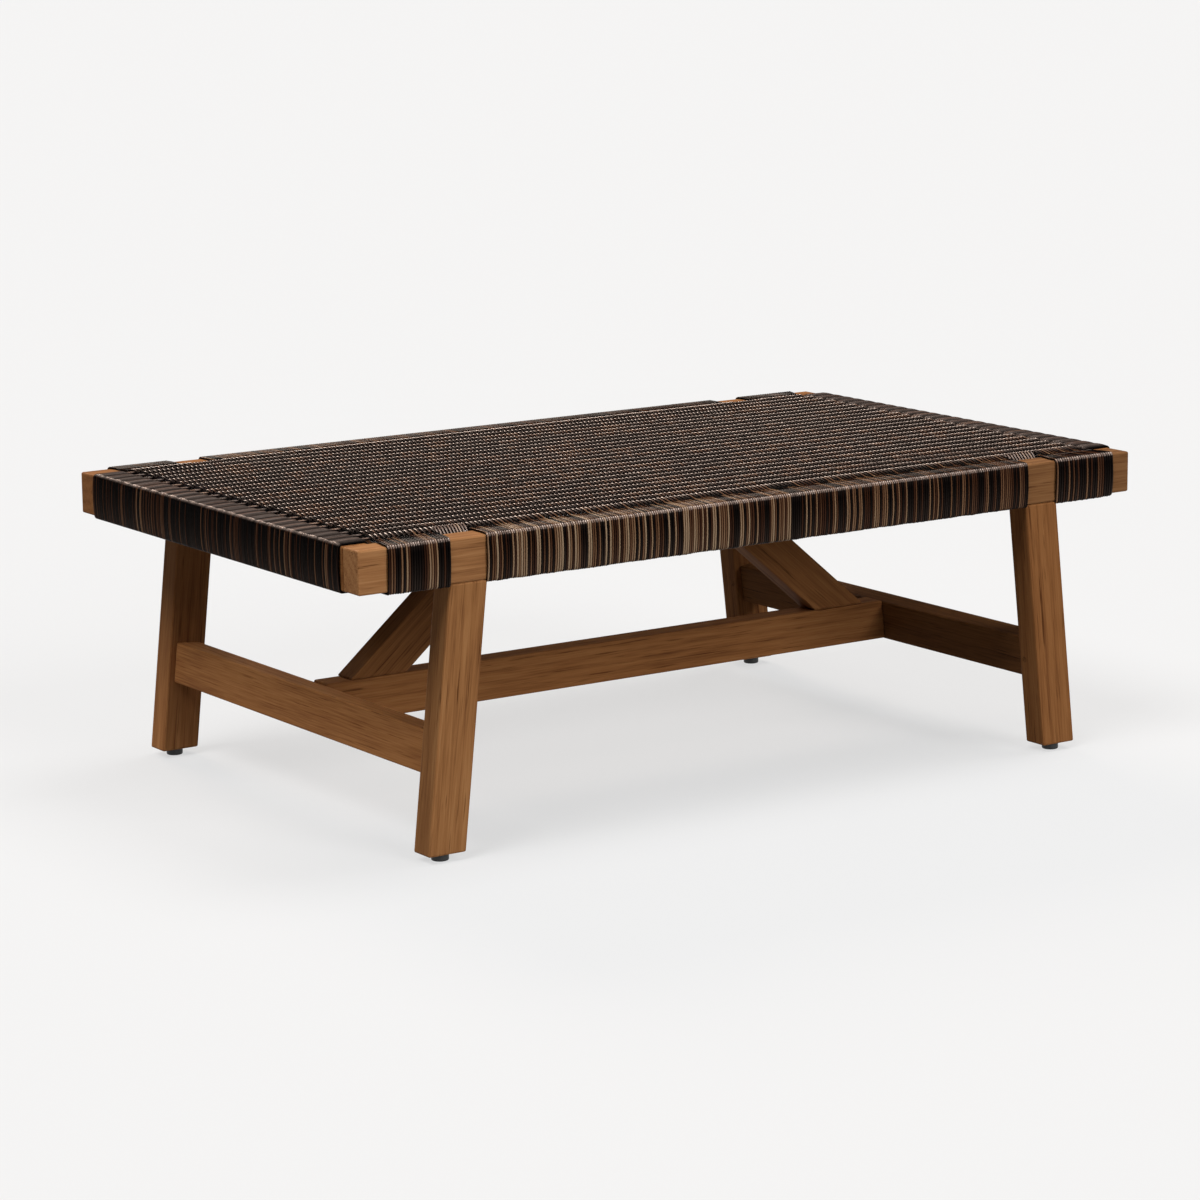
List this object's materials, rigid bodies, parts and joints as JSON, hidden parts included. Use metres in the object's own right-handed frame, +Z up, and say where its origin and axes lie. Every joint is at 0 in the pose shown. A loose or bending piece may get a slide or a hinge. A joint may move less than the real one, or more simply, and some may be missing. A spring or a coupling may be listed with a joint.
{
  "type": "coffee table",
  "caption": "Low rectangular coffee table: splayed teak trestle frame with diagonal braces, a top woven from round resin cord around the rails, and screw-in levelling feet.",
  "frame": {"origin": "on the floor, under the middle of the top", "axes": "+X along the table's length, +Y across it to the back, +Z up"},
  "size_m": [1.2706, 0.7566, 0.4229],
  "materials": {
    "teak": "oiled teak, satin, eased edges",
    "teak_peg": "end grain of a teak peg",
    "wicker": "round strands, satin, in black, dark red-brown, mid brown and tan",
    "black_plastic": "moulded, matte",
    "steel": "stainless, threaded",
    "brass": "plain"
  },
  "bodies": {
    "frame": {"rail_front": "teak", "rail_back": "teak", "rail_left": "teak", "rail_right": "teak", "cross_bearer_left": "teak", "cross_bearer_right": "teak", "centre_beam": "teak", "leg_front_left": "teak", "leg_front_right": "teak", "leg_back_left": "teak", "leg_back_right": "teak", "stretcher_left": "teak", "stretcher_right": "teak", "stretcher_long": "teak", "brace_left": "teak", "brace_right": "teak", "rail_peg_front_left": "teak_peg", "rail_peg_front_right": "teak_peg", "rail_peg_back_left": "teak_peg", "rail_peg_back_right": "teak_peg", "stretcher_peg_front_left": "teak_peg", "stretcher_peg_front_right": "teak_peg", "stretcher_peg_back_left": "teak_peg", "stretcher_peg_back_right": "teak_peg", "wrap_left": "wicker", "wrap_right": "wicker", "wrap_front_left": "wicker", "wrap_front_middle": "wicker", "wrap_front_right": "wicker", "wrap_back_left": "wicker", "wrap_back_middle": "wicker", "wrap_back_right": "wicker", "woven_top": "wicker", "foot_insert_front_left": "brass", "foot_insert_front_right": "brass", "foot_insert_back_left": "brass", "foot_insert_back_right": "brass"},
    "foot_front_left": {"foot_pad_front_left": "black_plastic", "foot_stem_front_left": "steel"},
    "foot_front_right": {"foot_pad_front_right": "black_plastic", "foot_stem_front_right": "steel"},
    "foot_back_left": {"foot_pad_back_left": "black_plastic", "foot_stem_back_left": "steel"},
    "foot_back_right": {"foot_pad_back_right": "black_plastic", "foot_stem_back_right": "steel"}
  },
  "joints": [
    {"name": "level_front_left", "type": "slide", "parent": "frame", "child": "foot_front_left", "axis": [0, 0, -1], "range_m": [0, 0.008]},
    {"name": "level_front_right", "type": "slide", "parent": "frame", "child": "foot_front_right", "axis": [0, 0, -1], "range_m": [0, 0.008]},
    {"name": "level_back_left", "type": "slide", "parent": "frame", "child": "foot_back_left", "axis": [0, 0, -1], "range_m": [0, 0.008]},
    {"name": "level_back_right", "type": "slide", "parent": "frame", "child": "foot_back_right", "axis": [0, 0, -1], "range_m": [0, 0.008]}
  ]
}
